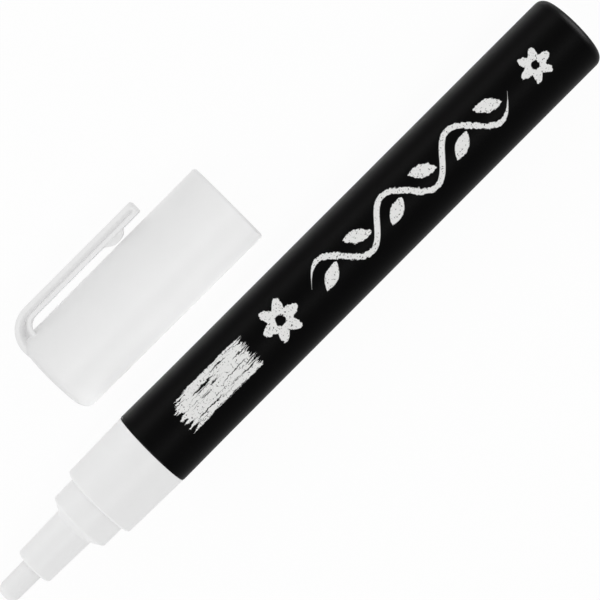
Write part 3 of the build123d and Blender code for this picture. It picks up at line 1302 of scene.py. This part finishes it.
    def groove_recess(self, share: float, low: float) -> float:
        """Depth of the side groove, which slopes down from its rim and rises to its flange.

        Args:
            share: place across the groove, 0 at the rim and 1 at the flange.
            low: where it is deepest.

        Returns:
            The depth.
        """
        if share < low:
            return self.groove_depth * (share / low) ** self.groove_curve
        past = (share - low) / (1 - low)
        return self.groove_depth * (1 + math.cos(math.pi * past)) / 2

    def section(self, station: Station) -> list[Vector]:
        """Points round one cross-section, from the middle of the outer face over both sides.

        Args:
            station: the cross-section.

        Returns:
            The points, in millimetres on the cap.
        """
        across = station.inner - station.outer
        depth = across.length
        inward = across.normalized()
        upper = self.upper_half(station, depth)
        lower = [(deep, -level) for deep, level in reversed(upper[1:-1])]
        slant = station.draft / (depth * station.half_width)
        points: list[Vector] = []
        for deep, level in [*upper, *lower]:
            x, y = station.outer + inward * deep
            points.append(Vector((x + slant * deep * level, y, level)))
        return points

    def upper_half(self, station: Station, depth: float) -> list[tuple[float, float]]:
        """Half of a cross-section, as depth from the outer face and height over the middle.

        Args:
            station: the cross-section.
            depth: distance from its outer to its inner face.

        Returns:
            The points from the middle of the outer face to the middle of the inner one.
        """
        half = station.half_width
        top = station.inset + self.crown
        outer, inner = self.outer_edge, station.inner_edge
        angles = [math.pi / 2 * step / self.edge_steps for step in range(self.edge_steps + 1)]
        half_points = [
            (station.inset + self.crown * share**2, share * (half - outer))
            for share in self.crown_shares
        ]
        half_points += [
            (top + outer * (1 - math.cos(angle)), half - outer * (1 - math.sin(angle)))
            for angle in angles[1:]
        ]
        groove_end = depth - self.flange
        for step in range(self.groove_steps + 1):
            share = step / self.groove_steps
            recess = station.groove * self.groove_recess(share, station.groove_low)
            half_points.append((self.rim + share * (groove_end - self.rim), half - recess))
        under = depth - station.inset
        half_points += [
            (under - inner * (1 - math.sin(angle)), half - inner * (1 - math.cos(angle)))
            for angle in angles
        ]
        wall = min(self.bump_half, half - inner - 2 * self.bump_wall)
        half_points.append((under, wall + self.bump_wall))
        half_points += [
            (under + station.bump, (wall - self.bump_wall) * share) for share in self.bump_shares
        ]
        return half_points


# Studio


class Use(Enum):
    """What a lamp is for."""

    KEY = "lights all but the pieces named, with shadows"
    FILL = "evens out the light on the pieces named, without gloss or shadow"
    GLOSS = "shows only as gloss on the pieces named"


class Lit(Enum):
    """A lamp's use, and the pieces that it is limited to or keeps off."""

    ALL = (Use.KEY,)
    ALL_BUT_SHELL = (Use.KEY, "cap_shell_moulding")
    SHELL = (Use.FILL, "cap_shell_moulding")
    CLIP = (Use.FILL, "clip_moulding")
    SECTION = (Use.FILL, "front_section_moulding", "bullet_nib")
    BARREL = (Use.GLOSS, "barrel_tube")

    def limit(self, lamp: bpy.types.Object) -> None:
        """Limits a lamp to its pieces.

        Args:
            lamp: the lamp.
        """
        use, *names = self.value
        if not names:
            return
        group = bpy.data.collections.new(f"{lamp.name}_pieces")
        for name in names:
            group.objects.link(bpy.data.objects[name])
        for held in group.collection_objects:
            held.light_linking.link_state = "EXCLUDE" if use is Use.KEY else "INCLUDE"
        lamp.light_linking.receiver_collection = group
        lamp.data.use_shadow = lamp.visible_camera = use is Use.KEY
        lamp.visible_glossy = use is not Use.FILL
        lamp.visible_diffuse = use is not Use.GLOSS
        lamp.data.cycles.use_multiple_importance_sampling = use is Use.KEY


@dataclass(frozen=True)
class Softbox:
    """A soft lamp: its direction in degrees off upright, its brightness, and its distance and size.

    It looks at the piece named by aim, or at the middle of the picture. A lean past 90 puts it below
    the table, where only a fill's or a gloss lamp's light gets through.
    """

    name: str
    side: float
    lean: float
    radiance: float
    lit: Lit = Lit.ALL
    distance: float = 0.8
    width: float = 0.5
    length: float = 0.8
    aim: str = ""

    def target(self, middle: Vector) -> Vector:
        """Finds what the lamp looks at.

        Args:
            middle: the middle of the picture.

        Returns:
            The point that it looks at.
        """
        if not self.aim:
            return middle
        corners = [Vector(corner) for corner in bpy.data.objects[self.aim].bound_box]
        return sum(corners, Vector()) / len(corners)

    def build(self, middle: Vector) -> None:
        """Hangs the lamp and points it at the object.

        Args:
            middle: the middle of the picture.
        """
        lamp = bpy.data.lights.new(self.name, "AREA")
        lamp.shape = "RECTANGLE"
        lamp.size = self.width
        lamp.size_y = self.length
        lamp.energy = self.radiance * LAMP_WATTS * self.width * self.length
        side, lean = math.radians(self.side), math.radians(self.lean)
        away = Vector((math.sin(side), math.sin(lean), math.cos(side) * math.cos(lean))).normalized()
        holder = bpy.data.objects.new(self.name, lamp)
        holder.location = self.target(middle) + away * self.distance
        along = Vector((1, 0, 0))
        lengthwise = (along - away * along.dot(away)).normalized()
        axes = Matrix((lengthwise.cross(away), lengthwise, away)).transposed()
        holder.rotation_euler = axes.to_euler()
        bpy.context.scene.collection.objects.link(holder)
        self.lit.limit(holder)


@dataclass
class Studio:
    """White table, soft lamps and the camera straight above."""

    sweep_radius: float = 3000.0
    sweep_curve: float = 800.0
    sweep_height: float = 1600.0
    floor_tone: Colour = (0.85, 0.85, 0.85)
    floor_light: float = 0.2
    floor_glow: float = 0.95
    sky: float = 0.68
    picture_width: float = 600.0
    pixels_per_mm: float = 5.8
    camera_height: float = 401.0
    centre_along: float = 36.235
    centre_across: float = 0.078
    turn: float = -45.035
    sensor: float = 36.0
    nearest: float = 10.0
    softboxes: tuple[Softbox, ...] = (
        Softbox("overhead_strip", 0, -22, 1.4, Lit.ALL, 1.1, 0.3, 2.2),
        Softbox("side_strip", 0, 58, 0.55, Lit.ALL_BUT_SHELL, 1.1, 0.4, 2.2),
        Softbox("shell_side_fill", 0, 58, 0.55, Lit.SHELL, 1.1, 0.4, 2.2),
        Softbox("clip_fill", 0, 35, 0.5, Lit.CLIP),
        Softbox("shell_top_fill", 0, -20, 0.55, Lit.SHELL),
        Softbox("barrel_top_gloss", 0, -22, 2.4, Lit.BARREL, 1.1, 0.3, 2.2),
        Softbox("barrel_side_gloss", 0, 58, 3.5, Lit.BARREL, 1.1, 0.4, 2.2),
        Softbox("barrel_rim_gloss", 0, 132, 1.4, Lit.BARREL, length=2.2),
        Softbox("barrel_tail_gloss", 78, 0, 22.0, Lit.BARREL, width=0.8, length=0.5),
        Softbox("barrel_lip_gloss", -78, 0, 22.0, Lit.BARREL, width=0.8, length=0.5),
        Softbox("shell_near_fill", 0, -115, 1.4, Lit.SHELL),
        Softbox("shell_gap_fill", 8, -100, 1.5, Lit.SHELL, 0.03, 0.016, 0.038, "cap_shell_moulding"),
        Softbox("shell_far_fill", 0, 125, 0.5, Lit.SHELL),
        Softbox("shell_slot_fill", 0, 125, 1.4, Lit.SHELL, 0.018, 0.012, 0.024, "clip_moulding"),
        Softbox("shell_end_fill", -100, 0, 0.1, Lit.SHELL),
        Softbox("section_near_fill", 0, -80, 0.4, Lit.SECTION),
        Softbox("section_far_fill", 0, 78, 0.75, Lit.SECTION),
        Softbox("section_end_fill", -75, 0, 1.0, Lit.SECTION),
    )

    def build(self) -> None:
        """Sets the table, the lamps, the sky and the camera."""
        self.build_floor()
        self.build_sky()
        middle = marker_place() @ Vector((self.centre_along, self.centre_across, 0))
        for softbox in self.softboxes:
            softbox.build(middle)
        self.build_camera(middle)
        bpy.context.scene.view_settings.view_transform = "Standard"
        LOG.info("studio: %d lamps", len(self.softboxes))

    def build_floor(self) -> None:
        """Lays the table, which sweeps up all round: white to the eye but for the object's shadow."""
        upright = Matrix.Rotation(math.radians(-90), 4, "Y") @ Matrix.Scale(MM, 4)
        table = turned("white_sweep", [
            Corner(0, 0),
            Corner(0, self.sweep_radius, self.sweep_curve),
            Corner(self.sweep_height, self.sweep_radius),
        ], upright, closed=False)
        graph = Graph(bpy.data.materials.new("white_table"))
        ray = graph.node("ShaderNodeLightPath")
        camera, glossy, through = (
            Value(graph, ray.outputs[name])
            for name in ("Is Camera Ray", "Is Glossy Ray", "Is Transmission Ray")
        )
        paint = graph.value("ShaderNodeBsdfDiffuse", None, {"Color": (*self.floor_tone, 1)})
        glow = graph.value("ShaderNodeEmission", None, {"Color": WHITE, "Strength": 1.0})
        seen = self.floor_light + (camera | glossy | through) * (self.floor_glow - self.floor_light)
        mixed = graph.value("ShaderNodeMixShader", None, {0: seen, 1: paint, 2: glow})
        table.data.materials.append(graph.surface(mixed))

    def build_sky(self) -> None:
        """Lights the room evenly."""
        world = bpy.data.worlds.new("studio_room")
        graph = Graph(world)
        light = graph.value("ShaderNodeBackground", None, {"Color": WHITE, "Strength": self.sky})
        graph.node("ShaderNodeOutputWorld", None, {"Surface": light})
        bpy.context.scene.world = world

    def build_camera(self, middle: Vector) -> None:
        """Hangs the camera over the object.

        Args:
            middle: the point in the middle of the picture, at the height of the marker's axis.
        """
        camera = bpy.data.cameras.new("photo_camera")
        camera.sensor_width = self.sensor
        camera.lens = self.sensor * self.camera_height * self.pixels_per_mm / self.picture_width
        camera.clip_start = self.nearest * MM
        holder = bpy.data.objects.new("photo_camera", camera)
        holder.location = middle + Vector((0, 0, self.camera_height * MM))
        holder.rotation_euler = (0, 0, math.radians(self.turn))
        bpy.context.scene.collection.objects.link(holder)
        bpy.context.scene.camera = holder


def main() -> None:
    """Builds the object piece by piece, then the studio round it."""
    logging.basicConfig(level=logging.INFO, format="%(message)s")
    white = CAP_PLASTIC.material()
    parts = (Barrel(), FrontSection(), Nib(), Valve(), MixingBall(), Cap(white), Clip(white), Studio())
    for sub_assembly in parts:
        sub_assembly.build()


if __name__ == "__main__":
    main()
